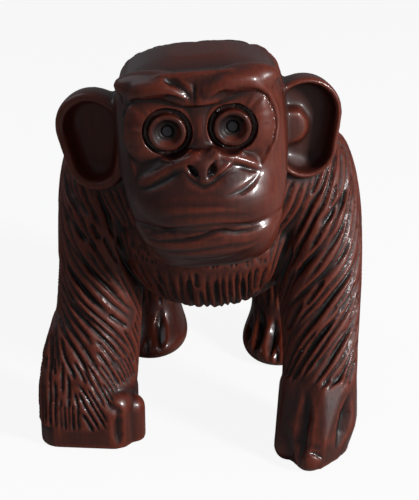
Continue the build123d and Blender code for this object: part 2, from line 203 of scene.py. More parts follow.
def neighbour_mean(values, edges):
    """Each point's value, averaged over the points that it shares an edge with."""
    count = len(values)
    a, b = edges.T
    share = np.bincount(a, minlength=count) + np.bincount(b, minlength=count)
    columns = values.reshape(count, -1).T
    sums = [
        np.bincount(a, column[b], minlength=count) + np.bincount(b, column[a], minlength=count)
        for column in columns
    ]
    return (np.array(sums) / np.maximum(share, 1)).T.reshape(values.shape)


def soft_step(low, high, value):
    """0 below low, 1 above high, with a soft change between them."""
    t = np.clip((value - low) / (high - low), 0, 1)
    return t * t * (3 - 2 * t)


points = read_points(block)
edges = read_edges(block)
seat = in_face(points)
on_face = soft_step(HAIRLINE_OUT, HAIRLINE_OUT + HAIRLINE_SOFTNESS, seat[:, 2])
on_face *= soft_step(*CHIN_SPAN, seat[:, 1])
for round_number in range(ROUNDING_ROUNDS):
    mean = neighbour_mean(points, edges)
    if round_number < EVENING_ROUNDS:
        points += (mean - points) * EVENING_SHARE
    else:
        points += (mean - points) * (RUBBING_SHARE * (1 - on_face))[:, None]
write_points(block, points)
normals = read_normals(block)


def rub_down(mask, rounds):
    """Rubs the masked part of the block smooth, with a soft border to the rest."""
    global normals
    own_edges = edges[(mask[edges] > 0).any(axis=1)]
    ids, flat = np.unique(own_edges, return_inverse=True)
    own_edges = flat.reshape(-1, 2)
    own = points[ids]
    for _ in range(rounds):
        own += RUBBING_SHARE * mask[ids, None] * (neighbour_mean(own, own_edges) - own)
    points[ids] = own
    write_points(block, points)
    normals = read_normals(block)


def line_gap(spots, line):
    """How far each spot lies from a line, and how far along it from 0 to 1."""
    legs = line[1:] - line[:-1]
    offset = spots[:, None] - line[None, :-1]
    lengths = np.maximum((legs**2).sum(axis=1), 1e-9)
    along = np.clip((offset * legs).sum(axis=2) / lengths, 0, 1)
    gaps = np.linalg.norm(offset - along[..., None] * legs, axis=2)
    nearest = gaps.argmin(axis=1)
    rows = np.arange(len(spots))
    return gaps[rows, nearest], (nearest + along[rows, nearest]) / len(legs)


def tool_mark(line, width, tip, round_over=0.0):
    """The points that a tool run along a line touches, and how deep from 0 to 1."""
    half = width / 2
    low = line.min(axis=0) - half
    high = line.max(axis=0) + half
    near = np.flatnonzero(np.all((points > low) & (points < high), axis=1))
    if len(near) == 0:
        return near, np.zeros(0)
    away, along = line_gap(points[near], line)
    ends = np.clip(np.minimum(along, 1 - along) / tip, 0, 1)
    slope = np.clip(1 - away / (half * (TIP_WIDTH + (1 - TIP_WIDTH) * ends)), 0, 1)
    bowl = slope * slope * (3 - 2 * slope)
    return near, (slope + (bowl - slope) * round_over) * ends


def carve(lines, width, depth, tip, round_over=0.0):
    """Cuts the block along lines: inward for a depth above 0, outward below it."""
    global normals
    deepest = np.zeros(len(points))
    for line in lines:
        near, amount = tool_mark(line, width, tip, round_over)
        deepest[near] = np.maximum(deepest[near], amount)
    points[:] -= normals * (deepest * depth)[:, None]
    write_points(block, points)
    normals = read_normals(block)


# The face
# The eyes lie in one hollow with a crisp brow edge above it. A knife cut the
# hollow, the folds of cheek and mouth, the nostrils and the grooves of the
# eyes into the block.

SIDES = (-1, 1)
HOLLOW_DEPTH = 1.7
HOLLOW_EDGE = 3.2
HOLLOW_CURVE = 0.7
HOLLOW_REACH = (30, 24)
CRISP_EDGE = 1.2
HOLLOW_ROUNDS = 3
EYE_STUD = 8.7
STUD_EDGE = 0.4
EYE_SPREAD = (pupil_middles["left"] - pupil_middles["right"]).length / 2
EYES_OUT = -8.0
LID_READ = 8.2
LID_SLOPE = 0.3
LID_REACH = 6.0
BRIDGE_WIDTH = 3.0
BRIDGE_SHARE = 0.6
IRIS_READ = (2.2, 2.8)
IRIS_EDGE = (3.2, 3.8)
CIRCLE_POINTS = 40
LINE_STEP = 0.6
FACE_LINE_ROUNDS = 4
BLOCK_LINE_ROUNDS = 8
BLOCK_LINE_REACH = 8.0
# the share of a blunt-ended cut that its tip takes
BLUNT = 0.0001
# how far across each ear's dish lies, and how far up its top and its foot
EAR_PLACES = ((-37.0, -5.2, -17.6), (34.5, -6.1, -18.5))
EAR_ROUNDS = (34, 12)
EAR_REACH = 16
# spans over which a border fades, along the face's across, up and out
HEAD_FRONT = (-12, -6)
HEAD_SIDE = (22, 27)
CHEEK_FOOT = (-24, -19)
CHEEK_TOP = (-6, -3)
BROW_END_OUT = (-20, -14)
BROW_END_UP = (8, 12)
BROW_END_ACROSS = (11, 17)
LIPS_FOOT = (-44, -40)
LIPS_TOP = (-30, -26)
EAR_BACK = (-38, -34)
EAR_FRONT = (-18, -16)


def eye_gap(seat, side):
    """How far places in the face's frame lie from the middle of one eye."""
    return np.hypot(seat[:, 0] - side * EYE_SPREAD, seat[:, 1])


def ear_gap(seat, ear_place):
    """How far places lie from the spine of an ear's dish, and how high along it."""
    ear_across, top_up, foot_up = ear_place
    rise = np.clip((seat[:, 1] - foot_up) / (top_up - foot_up), 0, 1)
    gap = np.hypot(seat[:, 0] - ear_across, seat[:, 1] - (foot_up + rise * (top_up - foot_up)))
    return gap, rise


# cheeks, the ends of the brow, lips and ears are rubbed down before the knife
seat = in_face(points)
across, up, out = seat.T
off_eye = np.ones(len(points))
for side in SIDES:
    off_eye *= soft_step(EYE_STUD, EYE_STUD + 1, eye_gap(seat, side))
front_of_head = soft_step(*HEAD_FRONT, out) * (1 - soft_step(*HEAD_SIDE, np.abs(across)))
cheeks = front_of_head * off_eye * soft_step(*CHEEK_FOOT, up) * (1 - soft_step(*CHEEK_TOP, up))
brow_ends = soft_step(*BROW_END_OUT, out) * soft_step(*BROW_END_UP, up)
brow_ends *= soft_step(*BROW_END_ACROSS, np.abs(across))
lips = front_of_head * soft_step(*LIPS_FOOT, up) * (1 - soft_step(*LIPS_TOP, up))
rub_down(cheeks, rounds=70)
rub_down(brow_ends, rounds=16)
rub_down(lips, rounds=36)
for ear_place, ear_rounds in zip(EAR_PLACES, EAR_ROUNDS):
    gap, _ = ear_gap(seat, ear_place)
    ear = (gap < EAR_REACH) * soft_step(*EAR_BACK, out) * (1 - soft_step(*EAR_FRONT, out))
    rub_down(ear, rounds=ear_rounds)

facing = np.flatnonzero((in_face(points)[:, 2] > HAIRLINE_OUT) & (normals @ face_axes[2] > 0.1))
face_seat = in_face(points)[facing]


def tree_of(rows):
    """A search tree that finds the row nearest to a place."""
    tree = kdtree.KDTree(len(rows))
    for index, row in enumerate(rows):
        tree.insert(row, index)
    tree.balance()
    return tree


def spaced(places):
    """A line through places, as points that lie evenly along it."""
    places = np.array(places, dtype=float)
    laid = []
    for start, end in zip(places[:-1], places[1:]):
        count = max(1, int(np.linalg.norm(end - start) / LINE_STEP))
        laid += [start + (end - start) * n / count for n in range(count)]
    return np.array(laid + [places[-1]])


def softened(line, rounds):
    """A line with its corners rounded and its ends kept."""
    for _ in range(rounds):
        line[1:-1] = (line[:-2] + 2 * line[1:-1] + line[2:]) / 4
    return line


face_tree = tree_of(face_seat * (1, 1, 0))


def on_face_line(places):
    """A line across the face, given as places across and up, laid on the wood."""
    flat = softened(spaced(places), FACE_LINE_ROUNDS)
    outs = [face_seat[face_tree.find((across, up, 0))[1], 2] for across, up in flat]
    return from_face(np.column_stack([flat, outs]))


def eye_circle(side, radius):
    """A circle round one eye, laid on the wood."""
    turns = [2 * math.pi * n / CIRCLE_POINTS for n in range(CIRCLE_POINTS + 1)]
    middle = side * EYE_SPREAD
    return on_face_line([(middle + radius * math.cos(t), radius * math.sin(t)) for t in turns])


# the hollow of the eyes, cut back inside its outline but for studs, lids and bridge
brow_edge = [
    (-24.5, 4), (-23, 8), (-19, 12.5), (-14, 14), (-9, 13.2), (-4.5, 11), (-1, 8.8),
    (1.5, 8.8), (4.8, 10.8), (8, 13.6), (14, 14.6), (18, 13.2), (21.6, 9.5), (23.8, 4),
    (24.3, -1), (23, -6), (20.8, -10), (19.2, -13.5),
]
cheek_edge = [
    (13.5, -10), (8.5, -8.2), (2.4, -6.2), (-0.5, -6.4), (-6, -7.8), (-12.5, -11),
    (-18, -13.8), (-21.8, -15.2), (-23.8, -8), (-25, -2), (-24.5, 4),
]
hollow = np.array(brow_edge + cheek_edge)
seat = in_face(points)
in_reach = (np.abs(seat[:, :2]) < HOLLOW_REACH).all(axis=1)
near = np.flatnonzero((seat[:, 2] > HAIRLINE_OUT) & in_reach)
flat_seat = seat[near, :2]
edge_gap, _ = line_gap(flat_seat, hollow)
inside = np.zeros(len(near), dtype=bool)
for (ax, ay), (bx, by) in zip(hollow[:-1], hollow[1:]):
    if ay != by:
        crossing = (ay > flat_seat[:, 1]) != (by > flat_seat[:, 1])
        leg_across = (bx - ax) * (flat_seat[:, 1] - ay) / (by - ay) + ax
        inside ^= crossing & (flat_seat[:, 0] < leg_across)
off_eye = np.ones(len(near))
for side in SIDES:
    off_eye *= soft_step(EYE_STUD - STUD_EDGE, EYE_STUD + STUD_EDGE, eye_gap(flat_seat, side))
lid = np.median(seat[near, 2][np.abs(eye_gap(flat_seat, 1) - LID_READ) < 0.3])
bridge = np.exp(-(flat_seat[:, 0] ** 2) / (2 * BRIDGE_WIDTH**2))
depth = HOLLOW_DEPTH * np.clip(edge_gap / HOLLOW_EDGE, 0, 1) ** HOLLOW_CURVE
depth *= inside * off_eye * (1 - BRIDGE_SHARE * bridge)
out = seat[near, 2] - depth
for side in SIDES:
    gap = eye_gap(flat_seat, side)
    lid_floor = lid - LID_SLOPE * (gap - EYE_STUD)
    raised = inside & (gap > EYE_STUD - 0.6) & (gap < EYE_STUD + LID_REACH)
    out = np.where(raised, np.maximum(out, lid_floor), out)
points[near] += face_axes[2] * (out - seat[near, 2])[:, None]
for _ in range(HOLLOW_ROUNDS):
    mean = neighbour_mean(points, edges)
    points[near] += EVENING_SHARE * (mean[near] - points[near]) * (edge_gap > CRISP_EDGE)[:, None]
write_points(block, points)
normals = read_normals(block)

# the groove round each eye and the ring round its iris
carve([eye_circle(side, 7.6) for side in SIDES], width=2.2, depth=0.7, tip=BLUNT)
carve([eye_circle(side, 6.9) for side in SIDES], width=3.2, depth=0.6, tip=BLUNT)
carve([eye_circle(side, 4.8) for side in SIDES], width=1.8, depth=-0.3, tip=BLUNT, round_over=1.0)

# the floor of each iris is cut flat, with a steep wall up to the ring
seat = in_face(points)
for side in SIDES:
    gap = eye_gap(seat, side)
    read = (gap > IRIS_READ[0]) & (gap < IRIS_READ[1]) & (seat[:, 2] > EYES_OUT)
    eye_floor = np.median(seat[read, 2])
    iris = (gap > IRIS_READ[0]) & (gap < IRIS_EDGE[1]) & (seat[:, 2] > eye_floor)
    iris = np.flatnonzero(iris)
    down = (seat[iris, 2] - eye_floor) * (1 - soft_step(*IRIS_EDGE, gap[iris]))
    points[iris] -= face_axes[2] * down[:, None]
write_points(block, points)
normals = read_normals(block)

# the two masses of the brow, its sharpened edge and the cuts on the forehead
brow_masses = [
    [(-23, 11), (-18, 14.6), (-12, 16), (-6, 14)],
    [(4, 13.4), (10, 16.4), (17, 16), (23, 11)],
]
carve([on_face_line(mass) for mass in brow_masses], width=10.0, depth=-1.1, tip=0.3, round_over=1.0)
carve([on_face_line(brow_edge[:8]), on_face_line(brow_edge[7:])], width=2.2, depth=0.5, tip=0.1)
slanting_cut = [(-11, 17.6), (-8.5, 17.4), (-6, 16.6), (-3.5, 14.2), (-1, 9.5)]
upright_cut = [(-0.6, 17), (-0.8, 9)]
carve([on_face_line(slanting_cut)], width=4.2, depth=1.5, tip=0.25)
carve([on_face_line(upright_cut)], width=1.8, depth=0.9, tip=0.3)

# the rim of the hollow, and the cheek folds with a cut along their lower side
hollow_rim = [
    (16, 15), (20.4, 13), (23, 9.6), (24.8, 4),
    (25.2, -1), (24, -6), (21.8, -10.4), (20, -13.6),
]
cheek_folds = [
    [(1, -5.4), (-6, -8.6), (-12.5, -12), (-18, -15), (-22, -17)],
    [(3, -5.6), (8.4, -8.2), (13.4, -10), (18.5, -12.8)],
]
under_folds = [
    [(-5.5, -10.4), (-9, -12.4), (-13.4, -14.8), (-18.8, -17.6), (-22.4, -19)],
    [(9.5, -10.8), (12.5, -12.2), (16.3, -14), (19.4, -15)],
]
carve([on_face_line(hollow_rim)], width=4.4, depth=-1.2, tip=0.25, round_over=1.0)
carve([on_face_line(cheek_folds[0])], width=6.0, depth=-0.9, tip=0.12, round_over=1.0)
carve([on_face_line(cheek_folds[1])], width=5.0, depth=-0.5, tip=0.12, round_over=1.0)
carve([on_face_line(under_folds[0])], width=3.6, depth=0.7, tip=0.35, round_over=0.7)
carve([on_face_line(under_folds[1])], width=2.6, depth=0.7, tip=0.3, round_over=0.6)

# the left wing of the nose, the nostrils and the V of the nose's base
nostrils = [
    [(-5.4, -8.6), (-3.6, -10.6), (-1.4, -14.2)],
    [(4.6, -8.2), (3.4, -10.8), (1.4, -14.4)],
]
nose_base = [(-7, -10.4), (-4.8, -13.4), (-0.2, -16.4), (3, -15.2), (7.5, -12.6), (11, -10.6)]
nose_wing = [(2.8, -14.2), (6, -11.8), (10.5, -9.4)]
carve([on_face_line(nose_wing)], width=3.2, depth=-0.9, tip=0.3, round_over=1.0)
carve([on_face_line(nostril) for nostril in nostrils], width=3.0, depth=2.2, tip=0.4)
carve([on_face_line(nose_base)], width=2.6, depth=0.8, tip=0.3, round_over=0.4)

# the bands of the muzzle, the smile crease, the lips and the mouth between them
muzzle_bands = [
    [(-18, -23), (-8, -21.6), (3, -22), (12, -24.4)],
    [(-19.5, -28), (-9, -25.8), (3, -25.4), (13, -27.4), (18.5, -29)],
]
smile = [(19.5, -14.5), (16, -17.5), (11.7, -19.3), (6, -19.8)]
upper_lip = [
    (-22, -35), (-16, -33.4), (-10, -30.8), (-3, -29.6),
    (3, -29.6), (9, -30.6), (15, -32.6), (20, -33),
]
mouth = [
    (-22, -35), (-17, -36.4), (-8, -35.6), (-4, -34.8), (2, -33),
    (5, -32.9), (9, -34), (14, -34.2), (20, -33.4),
]
lower_lip = [
    (-22, -38), (-17, -40.2), (-7, -40), (-1, -39.2),
    (5, -38.8), (13, -39), (16, -38), (19.5, -35.5),
]
carve([on_face_line(band) for band in muzzle_bands], width=4.4, depth=0.35, tip=0.35, round_over=1.0)
carve([on_face_line(smile)], width=4.0, depth=0.7, tip=0.4, round_over=1.0)
carve([on_face_line(upper_lip)], width=3.4, depth=0.5, tip=0.2, round_over=1.0)
carve([on_face_line(mouth)], width=2.8, depth=0.9, tip=0.2, round_over=0.6)
carve([on_face_line(lower_lip)], width=3.6, depth=0.5, tip=0.25, round_over=1.0)

# the valleys between fingers and toes, and the notch of a nail
hand_valleys = [
    [(40, -48, 28), (39.6, -54, 17), (38.4, -59, 6), (38, -60, 1)],
    [(56, -45, 26), (53.6, -50, 15), (51, -54, 5)],
]
toe_valleys = [
    [(20, 34, 21), (20, 26, 11), (20, 20, 2)],
    [(27, 30, 18), (26, 22, 10), (25, 16, 2)],
    [(-21, 32, 19), (-21, 26, 11), (-21, 20, 3)],
    [(14, 37, 16), (14, 30, 9), (14, 25, 3)],
]
fist_valleys = [[(-28.6, -49, 17), (-28.2, -52, 9), (-28, -51, 1)]]
nail = [(41, -59.5, 8.6), (44, -59.5, 7.8), (46.4, -58.5, 5.4)]


def on_block_line(places):
    """A line given by rough places in the figure, laid on the wood."""
    laid = spaced(places)
    low = laid.min(axis=0) - BLOCK_LINE_REACH
    high = laid.max(axis=0) + BLOCK_LINE_REACH
    near = np.flatnonzero(((points > low) & (points < high)).all(axis=1))
    found = [near[((points[near] - spot) ** 2).sum(axis=1).argmin()] for spot in laid]
    return softened(points[found], BLOCK_LINE_ROUNDS)


carve([on_block_line(valley) for valley in hand_valleys], width=8.0, depth=2.4, tip=0.35, round_over=0.4)
carve([on_block_line(valley) for valley in toe_valleys], width=6.5, depth=2.2, tip=0.35, round_over=0.6)
carve([on_block_line(valley) for valley in fist_valleys], width=5.0, depth=1.8, tip=0.3)
carve([on_block_line(nail)], width=2.2, depth=0.9, tip=0.25)

# The hair
# The coat is cut with a V gouge in long strokes that lie side by side. They
# run down the arms and fan out over the fist, go back over the crown and
# along the back, and stop short of face, ears, hands and feet.

STROKE_GAP = 2.6
STROKE_WIDTH = 2.5
STROKE_DEPTH = 1.25
STROKE_TIP = 0.16
STROKE_LENGTHS = (20.0, 60.0)
STROKE_STEP = 0.9
STROKE_ROUNDS = 10
STROKE_TRIES = 26000
STARTING_SHARE = 0.9
PASSING_SHARE = 0.62
STALLED_SHARE = 0.3
SHORTEST_SHARE = 0.4
FEWEST_POINTS = 4
CELLS_AROUND = tuple(itertools.product((-1, 0, 1), repeat=3))
WIDTH_SPREAD = (0.85, 1.15)
DEPTH_SPREAD = (0.75, 1.15)
FAN_GAP = 1.9
FAN_WIDTH = 1.9
FAN_LENGTHS = (12.0, 34.0)
FAN_DEPTHS = (0.8, 1.2)
FAN_TRIES = 9000
FAN_INNER_X = -24
FAN_TOP_Z = 34
BEARD_GAP = 1.4
BEARD_WIDTH = 1.6
BEARD_TIP = 0.35
BEARD_LENGTHS = (3.0, 7.0)
BEARD_DEPTHS = (0.6, 1.1)
BEARD_TRIES = 12000
BEARD_FOOT_Z = 71
BEARD_TOP_Z = 81
BEARD_HALF = 25
BEARD_BACK_Y = -24
COMB_REACH = 9.0
FAR_REACH = 26.0
FAR_SHARE = 0.02
EAR_FOOT = 11.4
EAR_TOP = 14.0
EAR_BARE = (-37, -20)
BROW_UP = 12.0
CROWN_FRONT_Y = -28
LEGS_FRONT_Y = 12.0
ANKLE_Z = 19.0
LEFT_WRIST_Z = 28.0
FIST_COAT_Z = 27
FIST_EDGE_Z = 7
THUMB_RISE = 15
THUMB_SPAN = (-34, -29)

# the lie of the coat, as a few lines that point the way it was cut
# those of the arms and chest were sighted from the photograph onto the block by another script,
# then thinned by hand, and many of their places are still as that script gave them
right_arm_paths = [
    # the ape's right arm, from under the ear down to the inner elbow
    ((-49, -25, 94), (-40, -34, 80), (-22, -25, 52)),
    ((-50, -26, 86), (-42, -35, 70), (-29, -34, 56)),
    ((-50, -28, 76), (-42, -36, 65), (-30, -35, 55)),
    ((-50, -30, 66), (-42, -38, 54), (-24, -30, 42)),
    ((-50, -34, 50), (-37, -40, 44), (-24, -33, 29)),
    ((-49, -37, 44), (-38, -44, 33), (-26, -44, 18)),
    # the fan that opens over the back of the hand
    ((-44, -43, 33), (-35, -46, 22), (-30, -50, 14)),
    ((-45, -46, 25), (-36, -50, 8)),
    ((-47, -46, 22), (-44, -51, 8)),
    ((-49, -45, 24), (-51, -50, 5)),
    ((-51, -42, 29), (-55, -49, 6)),
    ((-50, -37, 42), (-54, -44, 22)),
    # the side and the back of the arm
    ((-56, -14, 92), (-57, -28, 50)),
    ((-57, -26, 50), (-59, -40, 12)),
    ((-42, 5, 92), (-43, -4, 60), (-44, -20, 12)),
]
left_arm_paths = [
    # the ape's left arm, falling straight and then sweeping in
    ((48, -24, 103), (44, -31, 94), (36, -34, 80)),
    ((51, -24, 96), (47, -33, 84), (36, -35, 69)),
    ((54, -24, 88), (50, -34, 75), (39, -38, 64)),
    ((57, -25, 77), (51, -34, 68), (43, -38, 60)),
    ((42, -33, 104), (35, -30, 93)),
    ((51, -37, 62), (42, -40, 52), (35, -38, 44)),
    ((56, -33, 55), (46, -43, 45), (40, -45, 34)),
    ((57, -34, 46), (48, -44, 38), (41, -48, 29)),
    ((56, -39, 37), (50, -46, 30)),
    ((59, -14, 80), (60, -22, 58), (58, -34, 30)),
    ((44, 5, 92), (45, -6, 60), (46, -22, 16)),
]
chest_paths = [
    ((-23, -35, 70), (-19, -24, 52)),
    ((-13, -40, 70), (-9, -29, 52)),
    ((-3, -41, 67), (-7, -28, 51)),
    ((5, -41, 67), (3, -30, 52)),
    ((13, -39, 65), (16, -24, 50)),
    ((22, -36, 69), (21, -20, 50)),
    ((29, -31, 88), (28, -32, 69)),
    ((-29, -31, 88), (-27, -32, 69)),
    ((0, 0, 43), (0, 50, 48)),
]
back_paths = [
    # from the crown over the nape and along the back to the rump
    ((0, -24, 150), (0, -12, 140), (0, 0, 126), (0, 12, 112), (0, 40, 112), (0, 62, 98), (0, 71, 80)),
    ((-16, -24, 148), (-17, -12, 138), (-18, 0, 122), (-18, 14, 110), (-18, 40, 108), (-18, 62, 92)),
    ((16, -24, 148), (17, -12, 138), (18, 0, 122), (18, 14, 110), (18, 40, 108), (18, 62, 92)),
    ((-29, -22, 134), (-30, -10, 124), (-32, 4, 112), (-34, 24, 100), (-34, 50, 84)),
    ((29, -22, 134), (30, -10, 124), (32, 4, 112), (34, 24, 100), (34, 50, 84)),
    ((-44, 6, 84), (-42, 24, 76), (-42, 42, 62)),
    ((44, 6, 84), (42, 24, 76), (42, 42, 62)),
    ((-42, 46, 66), (-40, 46, 48), (-34, 44, 30), (-36, 46, 12)),
    ((42, 46, 66), (40, 46, 48), (34, 44, 30), (36, 46, 12)),
    ((-26, 26, 48), (-26, 22, 36), (-26, 26, 24)),
    ((26, 26, 48), (26, 22, 36), (26, 26, 24)),
    ((-26, 68, 70), (-28, 66, 46), (-28, 60, 26)),
    ((26, 68, 70), (28, 66, 46), (28, 60, 26)),
    ((0, 71, 80), (0, 70, 60), (0, 62, 52)),
]
all_paths = right_arm_paths + left_arm_paths + chest_paths + back_paths
paths = [np.array(path, dtype=float) for path in all_paths]

combed = np.zeros_like(points)
for path in paths:
    for start, end in zip(path[:-1], path[1:]):
        squared = ((points - (start + end) / 2) ** 2).sum(axis=1)
        pull = np.exp(-squared / (2 * COMB_REACH**2))
        pull += FAR_SHARE * np.exp(-squared / (2 * FAR_REACH**2)) + 1e-6 / (1 + squared)
        combed += pull[:, None] * (end - start) / np.linalg.norm(end - start)
combed -= (combed * normals).sum(axis=1)[:, None] * normals
combed /= np.maximum(np.linalg.norm(combed, axis=1), 1e-12)[:, None]

# where the coat stops: the face, the crown's front, the ears, hands and feet
x, y, z = points.T
seat = in_face(points)
_, up, out = seat.T
bare = (out > HAIRLINE_OUT - 1) & (up > CHIN_UP)
bare |= (up > BROW_UP) & (y < CROWN_FRONT_Y)
for ear_place in EAR_PLACES:
    gap, rise = ear_gap(seat, ear_place)
    reach = EAR_FOOT + (EAR_TOP - EAR_FOOT) * rise
    bare |= (gap < reach) & (out > EAR_BARE[0]) & (out < EAR_BARE[1])
front = y < LEGS_FRONT_Y
right_wrist = FIST_EDGE_Z + THUMB_RISE * soft_step(*THUMB_SPAN, x)
bare |= front & (z < np.where(x < 0, right_wrist, LEFT_WRIST_Z))
bare |= ~front & (z < ANKLE_Z)
beard = ~bare & (z > BEARD_FOOT_Z) & (z < BEARD_TOP_Z)
beard &= (np.abs(x) < BEARD_HALF) & (y < BEARD_BACK_Y)
fan = ~bare & (x < FAN_INNER_X) & (z < FAN_TOP_Z) & front
hairy = ~bare & ~beard & ~(fan & (z < FIST_COAT_Z))

tree = tree_of(points)


def comb(zone, gap, lengths, starts, tries, seed):
    """Strokes that fill a zone evenly, each following the lie of the coat."""
    chance = random.Random(seed)
    shortest = max(FEWEST_POINTS, SHORTEST_SHARE * lengths[0] / STROKE_STEP)
    taken = {}
    strokes = []

    def cell(place):
        return tuple(int(math.floor(value / gap)) for value in place)

    def crowded(place, own, reach):
        cx, cy, cz = cell(place)
        for dx, dy, dz in CELLS_AROUND:
            for other, who in taken.get((cx + dx, cy + dy, cz + dz), ()):
                if who != own and (other - place).length < reach:
                    return True
        return False

    def follow(index, sense, reach, own):
        passed = []
        place = Vector(points[index])
        for _ in range(int(reach / STROKE_STEP)):
            way = Vector(combed[index]) * (sense * STROKE_STEP)
            found, index, _ = tree.find(place + way)
            if not zone[index] or (found - place).length < STALLED_SHARE * STROKE_STEP:
                break
            if crowded(found, own, PASSING_SHARE * gap):
                break
            place = found.copy()
            passed.append(place)
        return passed

    seeds = [tree.find(start)[1] for start in starts]
    filling = [int(n) for n in np.flatnonzero(zone)]
    chance.shuffle(filling)
    for order, seed_index in enumerate(seeds + filling[:tries]):
        place = Vector(points[seed_index])
        if not zone[seed_index] or crowded(place, -1, STARTING_SHARE * gap):
            continue
        own = len(strokes)
        reach = lengths[1] if order < len(seeds) else chance.uniform(*lengths)
        before = follow(seed_index, -1, reach / 2, own)
        after = follow(seed_index, 1, reach / 2, own)
        stroke = before[::-1] + [place] + after
        if len(stroke) < shortest:
            continue
        strokes.append(np.array(stroke))
        for passed in stroke:
            taken.setdefault(cell(passed), []).append((passed, own))
    return [softened(stroke, STROKE_ROUNDS) for stroke in strokes]


starts = [path[len(path) // 2] for path in paths]
coat_strokes = comb(hairy, STROKE_GAP, STROKE_LENGTHS, starts, STROKE_TRIES, seed=7)
fan_strokes = comb(fan, FAN_GAP, FAN_LENGTHS, starts, FAN_TRIES, seed=5)
beard_stabs = comb(beard, BEARD_GAP, BEARD_LENGTHS, [], BEARD_TRIES, seed=11)
chance = random.Random(3)
cut = np.zeros(len(points))
for stroke in coat_strokes:
    near, amount = tool_mark(stroke, STROKE_WIDTH * chance.uniform(*WIDTH_SPREAD), STROKE_TIP)
    cut[near] = np.maximum(cut[near], amount * STROKE_DEPTH * chance.uniform(*DEPTH_SPREAD))
for stroke in fan_strokes:
    near, amount = tool_mark(stroke, FAN_WIDTH * chance.uniform(*WIDTH_SPREAD), STROKE_TIP)
    cut[near] = np.maximum(cut[near], amount * chance.uniform(*FAN_DEPTHS))
for stab in beard_stabs:
    near, amount = tool_mark(stab, BEARD_WIDTH, BEARD_TIP)
    cut[near] = np.maximum(cut[near], amount * chance.uniform(*BEARD_DEPTHS))
points -= normals * cut[:, None]
write_points(block, points)

# The finish of the block
# Stain was brushed on and rubbed off, so that it stays dark in every cut and
# lets the red wood show on the edges, under a thin coat of lacquer. On top of
# this, broad hollows get painted shade, and a few places painted light and
# painted highlights.

TRIANGLES = 190000
CALM_ROUNDS = 12
BROAD_ROUNDS = 60
BORDER_ROUNDS = 6
# spans, in millimetres, over which a sunk or raised point gains its tone
CUT_SPAN = (-0.15, 0.35)
# a broadly sunk point gains its painted shade over this span
SUNK_SHADE_SPAN = (-0.3, 1.2)
WORN_SPAN = (0.02, 0.22)
CUT_SHARE = 0.75
HAIR_SHADE = 0.1
FACE_SHADE = 0.3
FACE_OUT = (-12, -8)
LIT_SIDE_PAINT = 0.85
BRIGHT_ACROSS = (12, 23)
BRIGHT_OUT = (-12, -4)
BRIGHT_UP = (-52, -44)
DISH_EDGE = (9, 12)
DISH_FRONT = (-20, -17)
DISH_MATT = 0.7
RIGHT_DISH_CLEARED = 0.6
RIGHT_DISH_PAINTED_LIGHT = 0.45
LEFT_DISH_TONE = 0.2
NOSE_TIP_UP = -12.5
NOSE_TIP_OUT = -4
NOSE_TIP_SPREAD = 22
NOSE_TIP_SHADE = 0.55
NOSE_TIP_CLEARED = 0.7
WING_ACROSS = 7
WING_UP = -11.2
WING_WIDTH = 2.0
WING_HEIGHT = 1.0
WING_HIGHLIGHT = 0.8
CROWN_UP = (18, 21)
CROWN_TONE = 0.5
RIGHT_CHEEK_ACROSS = (-12, -7)
RIGHT_CHEEK_FOOT = (-24, -20)
RIGHT_CHEEK_TOP = (-8, -5)
RIGHT_CHEEK_MATT = 0.8
IRIS_DISH_EDGE = (4.5, 5.3)
IRIS_DISH_SHADE = 0.85
RING_SPAN = (4, 8.4)
RING_SHADES = (0.3, 0.62)
RING_CLEARED = 0.55
RIDGE_RADIUS = 5.4
RIDGE_WIDTH = 0.5
RIDGE_WEAR = 0.5
GLINT_FROM = (2.6, 3.8)
GLINT_LOW = (0.4, 2.6)
GLINT_SLANT = 0.7
PAINTED_GLINT = 0.9
STAIN_RED = (0.052, 0.0098, 0.0056, 1)
STAIN_AND_SHADE_BROWN = (0.026, 0.0056, 0.0038, 1)
STAIN_AND_SHADE_BLACK = (0.003, 0.0015, 0.0012, 1)
WORN_AND_LIT_RED = (0.17, 0.028, 0.011, 1)
WORN_AND_LIT_SHARE = 0.6
GRAIN_SCALE = (900, 900, 90)
GRAIN_SHARE = 0.42
GRAIN_DARK = (0.45, 0.4, 0.4, 1)
GRAIN_LIGHT = (1.25, 1.15, 1.1, 1)
PORE_STRENGTH = 0.15
PORE_DEPTH = 0.3 * MM
HAIR_ROUGHNESS = 0.56
SMOOTH_ROUGHNESS = 0.38
HAIR_LACQUER = 0.1
SMOOTH_LACQUER = 0.4
LACQUER_ROUGHNESS = 0.14
WOOD_SPECULAR = 0.38


def averaged(values, rounds):
    """Values passed from point to point along the edges, over and over."""
    for _ in range(rounds):
        values = neighbour_mean(values, edges)
    return values


# stain gathers where a point lies below its surroundings in a cut, and wears off above; broad hollows are
# darkened as well, as painted shade
calm = averaged(points, CALM_ROUNDS)
broad = averaged(calm, BROAD_ROUNDS)
normals = read_normals(block)
cut_in = ((calm - points) * normals).sum(axis=1)
sunk_shade = ((broad - points) * normals).sum(axis=1)
shade = CUT_SHARE * soft_step(*CUT_SPAN, cut_in) + (1 - CUT_SHARE) * soft_step(*SUNK_SHADE_SPAN, sunk_shade)
lift = soft_step(*WORN_SPAN, -cut_in)
matt = np.zeros(len(points))
smooth_wood = averaged(bare.astype(float), BORDER_ROUNDS)

# the left side of the head, towards the window lamp, is painted lighter red as painted light
seat = in_face(points)
across, up, out = seat.T
painted_lit_side = soft_step(*BRIGHT_ACROSS, across) * soft_step(*BRIGHT_OUT, out)
painted_lit_side *= soft_step(*BRIGHT_UP, up)
lift = np.maximum(lift, LIT_SIDE_PAINT * painted_lit_side)

